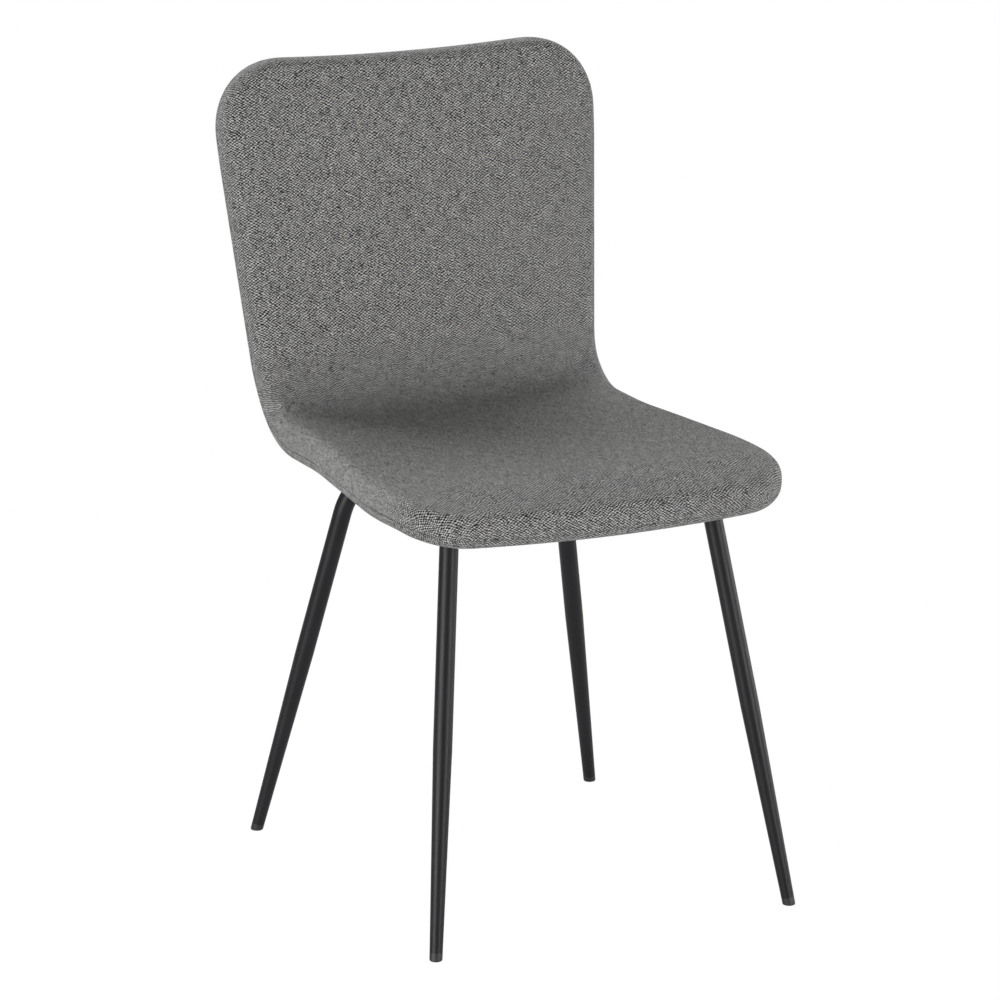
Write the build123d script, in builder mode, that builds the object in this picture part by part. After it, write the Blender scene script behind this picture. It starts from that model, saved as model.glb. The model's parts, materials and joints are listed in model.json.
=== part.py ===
from build123d import *

import os
from math import asin, cos, degrees, radians, sin, tan

# Upholstered dining chair: a bent plywood shell in foam and fabric on a black steel frame.
# Millimetres. The floor is z = 0, the chair faces -Y and x = 0 is its plane of symmetry.
# y = 0 is the middle of the chair's depth. Left and right are the sitter's, so left is +X.

# Overall sizes
HEIGHT = 850.0
SEAT_Z = 460.0  # middle of the upholstered shell's thickness over the flat of the seat
SHELL_T = 36.0  # fabric to fabric

# Side view of the shell's middle: a drooping nose, a flat seat, a bend and a leaning back
NOSE_Y = -275.0  # foremost point of the bowed front edge
NOSE_DROOP = 21.5  # degrees that the nose dips below the seat
NOSE_R = 250.0
NOSE_RUN = 49.0  # from the tip to where the lines of the nose and the seat would meet
BEND_Y = 188.6  # where the lines of the seat and the back would meet
BEND_R = 88.0
BACK_LEAN = 10.2  # degrees from upright

# Outline of the seat from above and of the back from the front, as half widths
SEAT_FRONT_W = 210.0
SEAT_W = 226.0
WAIST_W = 201.0  # through the bend
BACK_W = 221.0
BACK_TOP_W = 227.5
WIDEST_Y = -162.0
WAIST_Y = 48.0
WAIST_Z = 502.0
BACK_WIDEST_Z = 740.0
SEAT_CORNER_R = 57.0
BACK_CORNER_R = 81.0
SIDE_R = 350.0  # eases the turns of the long sides
FRONT_BOW = 15.0  # how far the middle of the front edge stands out
TOP_DIP = 4.1  # how far the middle of the top edge hangs below its shoulders

# Layers of the shell, as distances in front of its middle
COVER_T = 1.2
SEAM_AT = -6.0  # where the front and rear covers are sewn together
PLY_FRONT = -3.0
PLY_REAR = -13.0
PLY_INSET = 10.0
WADDING_SLIP = 0.05  # between the wadding and the rear cover
FRONT_ROUND = 14.0
REAR_ROUND = 8.0
DUST_COVER_T = 0.6
DUST_COVER_INSET = 24.0
CLOTH_GAP = 0.3  # room for the cloth's nap above the straps

# Frame
TUBE_R = 10.0
TUBE_WALL = 1.5
FOOT_R = 6.7
TAPER_L = 218.0  # tapered length of a leg, along it
LEG_BEND_R = 70.0  # rear legs only: the front legs run straight up to their cross tube
FRONT_FOOT = (206.0, -268.8)
REAR_FOOT = (205.0, 206.0)
FRONT_LEG_TOP = (150.5, -184.5)  # where the leg's line reaches the cross tube's height
REAR_LEG_TOP = (121.0, 119.0)
STRAP_X = 62.0
STRAP_W = 28.0
STRAP_T = 4.0
STRAP_OVERHANG = 4.0
STRAP_CORNER_R = 4.0
GLIDE_H = 8.0
GLIDE_PLUG = 18.0
GLIDE_ROUND = 1.5

# Fasteners: four M6 x 20 bolts with washers, into tee nuts in the plywood
BOLT_Y = (-142.0, 76.0)
BOLT_D = 5.8
BOLT_L = 20.0
BOLT_HEAD_D = 10.5
BOLT_HEAD_H = 3.3
BOLT_SOCKET = 4.0
FLAT_WASHER_D = 14.0
FLAT_WASHER_T = 1.2
SPRING_WASHER_D = 10.2
SPRING_WASHER_T = 1.5
SPRING_WASHER_GAP = 1.5
HOLE_D = 6.6
CLOTH_HOLE_D = 8.0
NUT_BORE_D = 6.0
NUT_BARREL_D = 7.8
NUT_FLANGE_D = 18.0
NUT_FLANGE_T = 1.4
NUT_L = 9.0
STAPLE = (10.0, 1.2, 0.6)
STAPLE_PITCH = 38.0
STAPLES_PER_SIDE = 7
STAPLES_ACROSS = 4  # each way from the middle
STAPLE_MARGIN = 7.0  # in from the dust cover's edge
STAPLE_GAP = 0.02

# Heights and places that follow
PLY_TOP_Z = SEAT_Z + PLY_FRONT
SHELL_UNDER_Z = SEAT_Z - SHELL_T / 2
DUST_COVER_UNDER_Z = SHELL_UNDER_Z - DUST_COVER_T
STRAP_TOP_Z = DUST_COVER_UNDER_Z - CLOTH_GAP
STRAP_UNDER_Z = STRAP_TOP_Z - STRAP_T
TUBE_Z = STRAP_UNDER_Z - TUBE_R
STAPLE_Z = DUST_COVER_UNDER_Z - STAPLE_GAP
OUTLINE_Z = SEAT_Z + 25.0  # the plan outline trims the shell below it, the front outline above
NOSE_CORNER_Y = NOSE_Y + NOSE_RUN * cos(radians(NOSE_DROOP))
BEND_START_Y = BEND_Y - BEND_R * tan(radians(90 - BACK_LEAN) / 2)
BOLT_SPOTS = [(side * STRAP_X, y) for side in (-1, 1) for y in BOLT_Y]

os.makedirs("parts", exist_ok=True)


def save(part: Part, label: str) -> None:
    """Label a finished piece and write its STEP file."""
    part.label = label
    export_step(part, f"parts/{label}.step")


# ---------------------------------------------------------------- layers of the shell


def side_line(distance: float) -> Wire:
    """The side-view line that runs parallel to the shell's middle, this far in front of it."""
    droop, rise = radians(NOSE_DROOP), radians(90 - BACK_LEAN)
    z = SEAT_Z + distance
    nose = Vector(NOSE_CORNER_Y - distance * tan(droop / 2), z)
    bend = Vector(BEND_Y - distance * tan(rise / 2), z)
    tip = nose - Vector(cos(droop), sin(droop)) * (NOSE_RUN + SHELL_T)
    top = bend + Vector(cos(rise), sin(rise)) * (HEIGHT - SEAT_Z + SHELL_T)
    with BuildLine(Plane.YZ) as line:
        FilletPolyline(tip, nose, bend, top, radius=[NOSE_R + distance, BEND_R - distance])
    return line.wire()


def ease(sketch: BuildSketch, y: float, radius: float) -> None:
    """Round the corners of an outline that stand at this height on its own Y axis."""
    fillet([v for v in sketch.vertices() if abs(v.Y - y) < 0.01], radius)


def seat_outline(inset: float) -> Sketch:
    """The seat's plan, running back past the bend."""
    corner_y, end_y = NOSE_Y + FRONT_BOW, BEND_Y + 150
    with BuildSketch() as plan:
        with BuildLine():
            ThreePointArc((-SEAT_FRONT_W, corner_y), (0, NOSE_Y), (SEAT_FRONT_W, corner_y))
            for side in (-1, 1):
                Polyline((side * SEAT_FRONT_W, corner_y), (side * SEAT_W, WIDEST_Y),
                         (side * WAIST_W, WAIST_Y), (side * WAIST_W, end_y))
            Line((-WAIST_W, end_y), (WAIST_W, end_y))
        make_face()
        ease(plan, corner_y, SEAT_CORNER_R)
        ease(plan, WIDEST_Y, SIDE_R)
        ease(plan, WAIST_Y, SIDE_R)
        if inset:
            offset(amount=-inset, mode=Mode.REPLACE)
    return plan.sketch


def back_outline(inset: float) -> Sketch:
    """The back as seen from the front, with a shallow dip in its top edge."""
    shoulder_x = BACK_TOP_W - BACK_CORNER_R
    corner_z = HEIGHT + TOP_DIP * ((BACK_TOP_W / shoulder_x) ** 2 - 1)
    with BuildSketch() as view:
        with BuildLine():
            ThreePointArc((-BACK_TOP_W, corner_z), (0, HEIGHT - TOP_DIP), (BACK_TOP_W, corner_z))
            for side in (-1, 1):
                Polyline((side * BACK_TOP_W, corner_z), (side * BACK_W, BACK_WIDEST_Z),
                         (side * WAIST_W, WAIST_Z), (side * WAIST_W, OUTLINE_Z - 100))
            Line((-WAIST_W, OUTLINE_Z - 100), (WAIST_W, OUTLINE_Z - 100))
        make_face()
        ease(view, corner_z, BACK_CORNER_R)
        ease(view, BACK_WIDEST_Z, SIDE_R)
        ease(view, WAIST_Z, SIDE_R)
        if inset:
            offset(amount=-inset, mode=Mode.REPLACE)
    return view.sketch


def shell_layer(rear: float, front: float, inset: float,
                rear_round: float = 0.0, front_round: float = 0.0) -> Part:
    """The bent slab between two distances from the shell's middle, trimmed to its outline."""
    rear_line, front_line = side_line(rear), side_line(front)
    with BuildPart() as trim:
        with BuildSketch(Plane.XY.offset(OUTLINE_Z)):
            add(seat_outline(inset))
        extrude(amount=OUTLINE_Z - SEAT_Z + 100, dir=(0, 0, -1))
        with BuildSketch(Plane.XZ):
            add(back_outline(inset))
            with Locations((0, OUTLINE_Z)):
                Rectangle(3 * SEAT_W, 400, align=(Align.CENTER, Align.MAX), mode=Mode.SUBTRACT)
        extrude(amount=2 * SEAT_W, both=True)
    with BuildPart() as layer:
        with BuildSketch(Plane.YZ):
            with BuildLine():
                add(rear_line)
                add(front_line)
                Line(rear_line @ 0, front_line @ 0)
                Line(rear_line @ 1, front_line @ 1)
            make_face()
        extrude(amount=2 * SEAT_W, both=True)
        add(trim.part, mode=Mode.INTERSECT)
        for line, radius in ((rear_line, rear_round), (front_line, front_round)):
            if radius:
                middles = [(edge, edge @ 0.5) for edge in edges().filter_by(Axis.X, reverse=True)]
                fillet([e for e, m in middles if line.distance_to((m.Y, m.Z)) < 0.01], radius)
    return layer.part


# ---------------------------------------------------------------- upholstered shell

with BuildPart() as plywood_shell:
    add(shell_layer(PLY_REAR, PLY_FRONT, PLY_INSET))
    with Locations([(x, y, PLY_TOP_Z) for x, y in BOLT_SPOTS]):
        CounterBoreHole(CLOTH_HOLE_D / 2, NUT_FLANGE_D / 2 + 0.2, NUT_FLANGE_T)
save(plywood_shell.part, "plywood_shell")

HALF = SHELL_T / 2
foam_block = shell_layer(COVER_T - HALF, HALF - COVER_T, COVER_T,
                         REAR_ROUND - COVER_T, FRONT_ROUND - COVER_T)
foam_hollow = shell_layer(-HALF, PLY_FRONT, PLY_INSET)
foam_joint = Plane(origin=(0, BEND_START_Y, SEAT_Z + BEND_R), z_dir=(0, 1, 1))
for label, side in (("seat_foam", Keep.BOTTOM), ("back_foam", Keep.TOP)):
    with BuildPart() as foam:
        add(foam_block)
        add(foam_hollow, mode=Mode.SUBTRACT)
        split(bisect_by=foam_joint, keep=side)
    save(foam.part, label)

with BuildPart() as rear_wadding:
    add(shell_layer(COVER_T + WADDING_SLIP - HALF, PLY_REAR, PLY_INSET))
    with Locations([(x, y, SEAT_Z) for x, y in BOLT_SPOTS]):
        Hole(CLOTH_HOLE_D / 2)
save(rear_wadding.part, "rear_wadding")

with BuildPart() as front_cover:
    add(shell_layer(SEAM_AT, HALF, 0, front_round=FRONT_ROUND))
    add(shell_layer(SEAM_AT, HALF - COVER_T, COVER_T, front_round=FRONT_ROUND - COVER_T),
        mode=Mode.SUBTRACT)
save(front_cover.part, "front_cover")

with BuildPart() as rear_cover:
    add(shell_layer(-HALF, SEAM_AT, 0, rear_round=REAR_ROUND))
    add(shell_layer(COVER_T - HALF, SEAM_AT, COVER_T, rear_round=REAR_ROUND - COVER_T),
        mode=Mode.SUBTRACT)
    with Locations([(x, y, SEAT_Z) for x, y in BOLT_SPOTS]):
        Hole(CLOTH_HOLE_D / 2, depth=HALF + 10)
save(rear_cover.part, "rear_cover")

with BuildPart() as dust_cover:
    add(shell_layer(-HALF - DUST_COVER_T, -HALF, DUST_COVER_INSET))
    split(bisect_by=Plane.XZ.offset(-BEND_START_Y), keep=Keep.TOP)
    with Locations([(x, y, SHELL_UNDER_Z) for x, y in BOLT_SPOTS]):
        Hole(CLOTH_HOLE_D / 2)
save(dust_cover.part, "dust_cover")

# Staples: crowns along the dust cover's sides, its straight rear edge and its drooping front
under_r = NOSE_R - HALF - DUST_COVER_T
droop_start_y = NOSE_CORNER_Y + NOSE_R * tan(radians(NOSE_DROOP) / 2)
side_slope = (SEAT_W - WAIST_W) / (WAIST_Y - WIDEST_Y)
staple_places = []
for row in range(STAPLES_PER_SIDE):
    y = BEND_START_Y - 2 * STAPLE_MARGIN - row * STAPLE_PITCH
    half_w = WAIST_W + side_slope * max(WAIST_Y - y, 0) - DUST_COVER_INSET - STAPLE_MARGIN
    staple_places += [Location((side * half_w, y, STAPLE_Z), (0, 0, 90)) for side in (-1, 1)]
front_y = NOSE_Y + DUST_COVER_INSET + 2 * STAPLE_MARGIN
front_tilt = asin((droop_start_y - front_y) / under_r)
front_z = STAPLE_Z - under_r * (1 - cos(front_tilt))
for column in range(-STAPLES_ACROSS, STAPLES_ACROSS + 1):
    x = column * STAPLE_PITCH
    staple_places.append(Location((x, front_y, front_z), (degrees(front_tilt), 0, 0)))
    if abs(abs(x) - STRAP_X) > STRAP_W / 2 + STAPLE[0]:
        staple_places.append(Location((x, BEND_START_Y - STAPLE_MARGIN, STAPLE_Z)))
with BuildPart() as dust_cover_staples:
    with Locations(staple_places):
        Box(*STAPLE, align=(Align.CENTER, Align.CENTER, Align.MAX))
save(dust_cover_staples.part, "dust_cover_staples")

# ---------------------------------------------------------------- frame


def leg_axis(foot: tuple, top: tuple) -> tuple[Vector, Vector, float]:
    """A leg's foot, its direction up and the length from the foot to the cross tube's line."""
    start = Vector(*foot, 0)
    run = Vector(*top, TUBE_Z) - start
    return start, run.normalized(), run.length


def bend_setback(up: Vector) -> float:
    """How far the leg's bend reaches each way from where leg and cross tube would meet."""
    turn = Vector(-1, 0, 0).get_angle(up)
    return LEG_BEND_R * tan(radians(turn) / 2)


def along(start: Vector, up: Vector) -> Plane:
    """A plane through a leg's centre line, with its own Y running up the leg."""
    x_dir = up.cross(Vector(0, 1, 0)).normalized()
    return Plane(origin=start, x_dir=x_dir, z_dir=x_dir.cross(up))


def radius_at(height: float) -> float:
    """A leg's outer radius this far up it."""
    return FOOT_R + (TUBE_R - FOOT_R) * min(height / TAPER_L, 1)


def leg_tube(start: Vector, up: Vector, length: float) -> Sketch:
    """A leg's wall in section, from the glide to this far up the leg."""
    foot_r = radius_at(GLIDE_H)
    with BuildSketch(along(start, up)) as wall:
        with BuildLine():
            Polyline((foot_r - TUBE_WALL, GLIDE_H), (foot_r, GLIDE_H), (TUBE_R, TAPER_L),
                     (TUBE_R, length), (TUBE_R - TUBE_WALL, length),
                     (TUBE_R - TUBE_WALL, TAPER_L), close=True)
        make_face()
    return wall.sketch


for row, foot, top in (("front", FRONT_FOOT, FRONT_LEG_TOP), ("rear", REAR_FOOT, REAR_LEG_TOP)):
    start, up, length = leg_axis(foot, top)
    bent = row == "rear"
    foot_r, tip_r = radius_at(GLIDE_H), radius_at(0)

    with BuildPart() as leg:
        if bent:
            setback = bend_setback(up)
            bend_start = length - setback
            add(leg_tube(start, up, bend_start))
            revolve(axis=Axis(start, up))
            with BuildLine() as bend:
                TangentArc(start + up * bend_start, Vector(top[0] - setback, top[1], TUBE_Z), tangent=up)
            with BuildSketch(Plane(origin=start + up * bend_start, z_dir=up)):
                Circle(TUBE_R)
                Circle(TUBE_R - TUBE_WALL, mode=Mode.SUBTRACT)
            sweep(path=bend.line)
        else:
            add(leg_tube(start, up, length + 2 * TUBE_R))
            revolve(axis=Axis(start, up))
            split(bisect_by=Plane.XY.offset(STRAP_UNDER_Z), keep=Keep.BOTTOM)

    with BuildPart() as glide:
        with BuildSketch(along(start, up)):
            plug_r = foot_r - TUBE_WALL
            with BuildLine():
                Polyline((0, -GLIDE_H), (tip_r, -GLIDE_H), (foot_r, GLIDE_H), (plug_r, GLIDE_H),
                         (plug_r, GLIDE_H + GLIDE_PLUG), (0, GLIDE_H + GLIDE_PLUG), close=True)
            make_face()
        revolve(axis=Axis(start, up))
        split(bisect_by=Plane.XY, keep=Keep.TOP)
        fillet(glide.faces().sort_by(Axis.Z)[0].edges(), GLIDE_ROUND)

    for side, piece in (("left", lambda part: part), ("right", lambda part: mirror(part, Plane.YZ))):
        save(piece(leg.part), f"{row}_{side}_leg")
        save(piece(glide.part), f"{row}_{side}_glide")

    half_w = top[0] - setback if bent else top[0] + TUBE_R
    with BuildPart() as cross_tube:
        with BuildSketch(Plane.YZ.offset(-half_w)):
            with Locations((top[1], TUBE_Z)):
                Circle(TUBE_R)
                Circle(TUBE_R - TUBE_WALL, mode=Mode.SUBTRACT)
        extrude(amount=2 * half_w)
        if not bent:  # coped to fit round the legs
            with BuildSketch(Plane(origin=start + up * (length - 2 * TUBE_R), z_dir=up)):
                Circle(TUBE_R)
            cope = extrude(amount=4 * TUBE_R, mode=Mode.PRIVATE)
            add([cope, mirror(cope, Plane.YZ)], mode=Mode.SUBTRACT)
            add(cross_tube.solids().sort_by(lambda solid: solid.volume)[-1], mode=Mode.REPLACE)
    save(cross_tube.part, f"{row}_cross_tube")

# Flat straps welded on top of the cross tubes, which carry the shell
strap_ends = (FRONT_LEG_TOP[1] - STRAP_OVERHANG, REAR_LEG_TOP[1] + STRAP_OVERHANG)
for label, x in (("left_strap", STRAP_X), ("right_strap", -STRAP_X)):
    with BuildPart() as strap:
        with BuildSketch(Plane.XY.offset(STRAP_UNDER_Z)):
            with Locations((x, sum(strap_ends) / 2)):
                RectangleRounded(STRAP_W, strap_ends[1] - strap_ends[0], STRAP_CORNER_R)
            with Locations([(x, y) for y in BOLT_Y]):
                Circle(HOLE_D / 2, mode=Mode.SUBTRACT)
        extrude(amount=STRAP_T)
    save(strap.part, label)

# ---------------------------------------------------------------- fasteners

SPRING_WASHER_Z = STRAP_UNDER_Z - FLAT_WASHER_T
HEAD_Z = SPRING_WASHER_Z - SPRING_WASHER_T

with BuildPart() as flat_washers:
    with BuildSketch(Plane.XY.offset(SPRING_WASHER_Z)):
        with Locations(BOLT_SPOTS):
            Circle(FLAT_WASHER_D / 2)
            Circle(HOLE_D / 2, mode=Mode.SUBTRACT)
    extrude(amount=FLAT_WASHER_T)
save(flat_washers.part, "flat_washers")

with BuildPart() as spring_washers:
    with BuildSketch(Plane.XY.offset(HEAD_Z)):
        with Locations(BOLT_SPOTS):
            Circle(SPRING_WASHER_D / 2)
            Circle(HOLE_D / 2, mode=Mode.SUBTRACT)
            Rectangle(SPRING_WASHER_D, SPRING_WASHER_GAP, rotation=25,
                      align=(Align.MIN, Align.CENTER), mode=Mode.SUBTRACT)
    extrude(amount=SPRING_WASHER_T)
save(spring_washers.part, "spring_washers")

with BuildPart() as frame_bolts:
    with BuildSketch(Plane.XY.offset(HEAD_Z)):
        with Locations(BOLT_SPOTS):
            Circle(BOLT_HEAD_D / 2)
    extrude(amount=-BOLT_HEAD_H)
    fillet(frame_bolts.faces().group_by(Axis.Z)[0].edges(), BOLT_HEAD_H * 0.6)
    with BuildSketch(Plane.XY.offset(HEAD_Z - BOLT_HEAD_H)):
        with Locations(BOLT_SPOTS):
            RegularPolygon(BOLT_SOCKET / 2, 6, major_radius=False)
    extrude(amount=BOLT_HEAD_H * 0.6, mode=Mode.SUBTRACT)
    with BuildSketch(Plane.XY.offset(HEAD_Z)):
        with Locations(BOLT_SPOTS):
            Circle(BOLT_D / 2)
    extrude(amount=BOLT_L)
save(frame_bolts.part, "frame_bolts")

with BuildPart() as tee_nuts:
    with BuildSketch(Plane.XY.offset(PLY_TOP_Z)):
        with Locations(BOLT_SPOTS):
            Circle(NUT_FLANGE_D / 2)
    extrude(amount=-NUT_FLANGE_T)
    with BuildSketch(Plane.XY.offset(PLY_TOP_Z)):
        with Locations(BOLT_SPOTS):
            Circle(NUT_BARREL_D / 2)
    extrude(amount=-NUT_L)
    with Locations([(x, y, PLY_TOP_Z) for x, y in BOLT_SPOTS]):
        Hole(NUT_BORE_D / 2)
save(tee_nuts.part, "tee_nuts")
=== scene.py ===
"""Upholstered dining chair: a bent plywood shell in foam and woven cloth on a black steel frame.

Metres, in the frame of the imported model: the floor is z = 0, the chair faces -Y and x = 0 is its
plane of symmetry. The steel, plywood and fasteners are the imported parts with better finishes. The
covers, pads, wadding and dust cover are built here over the same shell form, and so are the welds.
"""

import json
import logging
import math
from dataclasses import dataclass, field
from enum import Enum
from typing import Callable

import bpy
import numpy as np
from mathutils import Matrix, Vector

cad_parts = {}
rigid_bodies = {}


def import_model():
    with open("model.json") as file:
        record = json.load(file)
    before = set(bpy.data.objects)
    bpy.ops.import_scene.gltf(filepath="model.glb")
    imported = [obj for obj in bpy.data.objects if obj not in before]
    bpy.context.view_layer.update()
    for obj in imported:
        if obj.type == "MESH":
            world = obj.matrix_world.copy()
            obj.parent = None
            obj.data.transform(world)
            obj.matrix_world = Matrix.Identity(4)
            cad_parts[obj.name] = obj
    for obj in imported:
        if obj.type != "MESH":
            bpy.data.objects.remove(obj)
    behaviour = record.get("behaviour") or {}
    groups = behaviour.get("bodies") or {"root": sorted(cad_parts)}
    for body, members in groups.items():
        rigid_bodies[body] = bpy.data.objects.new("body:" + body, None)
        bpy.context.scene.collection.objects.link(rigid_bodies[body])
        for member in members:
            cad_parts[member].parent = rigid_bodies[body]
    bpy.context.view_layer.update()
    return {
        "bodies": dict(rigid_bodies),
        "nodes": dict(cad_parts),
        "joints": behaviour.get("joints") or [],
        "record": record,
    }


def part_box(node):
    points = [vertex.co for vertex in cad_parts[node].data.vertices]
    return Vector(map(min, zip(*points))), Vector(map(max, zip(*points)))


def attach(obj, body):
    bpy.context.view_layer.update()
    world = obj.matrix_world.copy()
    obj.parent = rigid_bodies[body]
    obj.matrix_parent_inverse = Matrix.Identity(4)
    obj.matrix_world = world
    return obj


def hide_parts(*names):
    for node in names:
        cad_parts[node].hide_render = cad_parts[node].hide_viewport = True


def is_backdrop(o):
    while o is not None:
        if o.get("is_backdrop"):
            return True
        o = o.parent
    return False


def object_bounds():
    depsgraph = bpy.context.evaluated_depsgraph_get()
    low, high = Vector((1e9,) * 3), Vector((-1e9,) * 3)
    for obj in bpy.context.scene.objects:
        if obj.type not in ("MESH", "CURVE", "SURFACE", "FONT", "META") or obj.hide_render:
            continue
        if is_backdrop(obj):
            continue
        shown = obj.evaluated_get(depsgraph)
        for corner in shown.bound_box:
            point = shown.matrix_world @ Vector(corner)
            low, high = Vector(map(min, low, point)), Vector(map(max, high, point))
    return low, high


log = logging.getLogger("chair")

BODY = "root"
MM = 0.001


# ---------------------------------------------------------------- shader maths


class Value:
    """An output socket that Python's operators turn into Math nodes."""

    def __init__(self, shader: "Shader", socket: bpy.types.NodeSocket) -> None:
        """Wrap one socket of a shader's tree."""
        self.shader = shader
        self.socket = socket

    def __add__(self, other: "Value | float") -> "Value":
        """Sum."""
        return self.shader.math("ADD", self, other)

    def __radd__(self, other: float) -> "Value":
        """Sum with a number on the left."""
        return self.shader.math("ADD", other, self)

    def __sub__(self, other: "Value | float") -> "Value":
        """Difference."""
        return self.shader.math("SUBTRACT", self, other)

    def __rsub__(self, other: float) -> "Value":
        """Difference from a number on the left."""
        return self.shader.math("SUBTRACT", other, self)

    def __mul__(self, other: "Value | float") -> "Value":
        """Product."""
        return self.shader.math("MULTIPLY", self, other)

    def __rmul__(self, other: float) -> "Value":
        """Product with a number on the left."""
        return self.shader.math("MULTIPLY", other, self)

    def __truediv__(self, other: "Value | float") -> "Value":
        """Quotient."""
        return self.shader.math("DIVIDE", self, other)

    def __abs__(self) -> "Value":
        """Size without sign."""
        return self.shader.math("ABSOLUTE", self)

    def __pow__(self, power: float) -> "Value":
        """Power of a value that isn't negative."""
        return self.shader.math("POWER", self, power)

    def clamped(self) -> "Value":
        """The value kept between 0 and 1."""
        return self.shader.node("ShaderNodeClamp", {}, {"Value": self}).out("Result")


class Made:
    """A node that was just added, with its outputs by name."""

    def __init__(self, shader: "Shader", node: bpy.types.Node) -> None:
        """Wrap one node of a shader's tree."""
        self.shader = shader
        self.node = node

    def out(self, name: str | int = 0) -> Value:
        """The output with this name or number."""
        return Value(self.shader, self.node.outputs[name])


class Shader:
    """One material's node tree, with a Principled surface and short ways to add nodes."""

    def __init__(self, name: str, **constants: object) -> None:
        """Start a material.

        Args:
            name: The material's name.
            constants: Principled sockets that are the same all over, as Specular_IOR_Level=0.4.
        """
        self.material = bpy.data.materials.new(name)
        self.material.use_nodes = True
        self.tree = self.material.node_tree
        self.surface = next(n for n in self.tree.nodes if n.type == "BSDF_PRINCIPLED")
        for socket, constant in constants.items():
            self.surface.inputs[socket.replace("_", " ")].default_value = constant

    def feed(self, socket: bpy.types.NodeSocket, value: object) -> None:
        """Link a value to a socket, or set a constant on it."""
        if isinstance(value, Made):
            value = value.out()
        if isinstance(value, Value):
            self.tree.links.new(value.socket, socket)
        else:
            socket.default_value = value

    def node(self, kind: str, settings: dict | None = None, inputs: dict | None = None) -> Made:
        """Add any node.

        Args:
            kind: The node's type, such as ShaderNodeTexNoise.
            settings: Its own settings, set first. "stops" holds a ramp's places and colours.
            inputs: Values or constants by socket name or number.
        Returns:
            The node, wrapped.
        """
        node = self.tree.nodes.new(kind)
        for name, value in (settings or {}).items():
            if name == "stops":
                ramp = node.color_ramp.elements
                while len(ramp) < len(value):
                    ramp.new(1.0)
                for element, (place, colour) in zip(ramp, value):
                    element.position, element.color = place, colour
            else:
                setattr(node, name, value)
        for name, value in (inputs or {}).items():
            self.feed(node.inputs[name], value)
        return Made(self, node)

    def math(self, operation: str, *values: "Value | float") -> Value:
        """Add a Math node on up to three values."""
        return self.node("ShaderNodeMath", {"operation": operation}, dict(enumerate(values))).out()

    def vector(self, operation: str, *values: object) -> Value:
        """Add a Vector Math node on up to three vectors."""
        return self.node("ShaderNodeVectorMath", {"operation": operation}, dict(enumerate(values))).out()

    def mix(self, factor: "Value | float", low: object, high: object) -> Value:
        """Mix two colours."""
        return self.node("ShaderNodeMix", {"data_type": "RGBA"}, {0: factor, 6: low, 7: high}).out(2)

    def noise(self, place: Value, scale: float, detail: float = 2.0, roughness: float = 0.5) -> Value:
        """Noise from about 0.3 to 0.7, with features of 1/scale metres."""
        inputs = {"Vector": place, "Scale": scale, "Detail": detail, "Roughness": roughness}
        return self.node("ShaderNodeTexNoise", {}, inputs).out("Fac")

    def object_place(self) -> Value:
        """The surface point in metres."""
        return self.node("ShaderNodeTexCoord").out("Object")

    def split(self, vector: Value) -> tuple[Value, Value, Value]:
        """The three parts of a vector."""
        node = self.node("ShaderNodeSeparateXYZ", {}, {0: vector})
        return node.out(0), node.out(1), node.out(2)

    def join(self, x: "Value | float", y: "Value | float", z: "Value | float" = 0.0) -> Value:
        """A vector of three values."""
        return self.node("ShaderNodeCombineXYZ", {}, {0: x, 1: y, 2: z}).out()

    def bump(self, height: Value, depth: float, strength: float = 1.0) -> None:
        """Feed a height, in units of depth metres, to the surface's normal."""
        bump = self.node("ShaderNodeBump", {}, {"Strength": strength, "Distance": depth, "Height": height})
        self.feed(self.surface.inputs["Normal"], bump)

    def paint(self, socket: str, value: object) -> None:
        """Feed one of the surface's sockets."""
        self.feed(self.surface.inputs[socket], value)


def grey(level: float, warmth: float = 0.0) -> tuple[float, float, float, float]:
    """A linear grey, a little redder and less blue as warmth grows."""
    return (level * (1 + warmth), level, level * (1 - 2 * warmth), 1.0)


# ---------------------------------------------------------------- finishes


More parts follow.
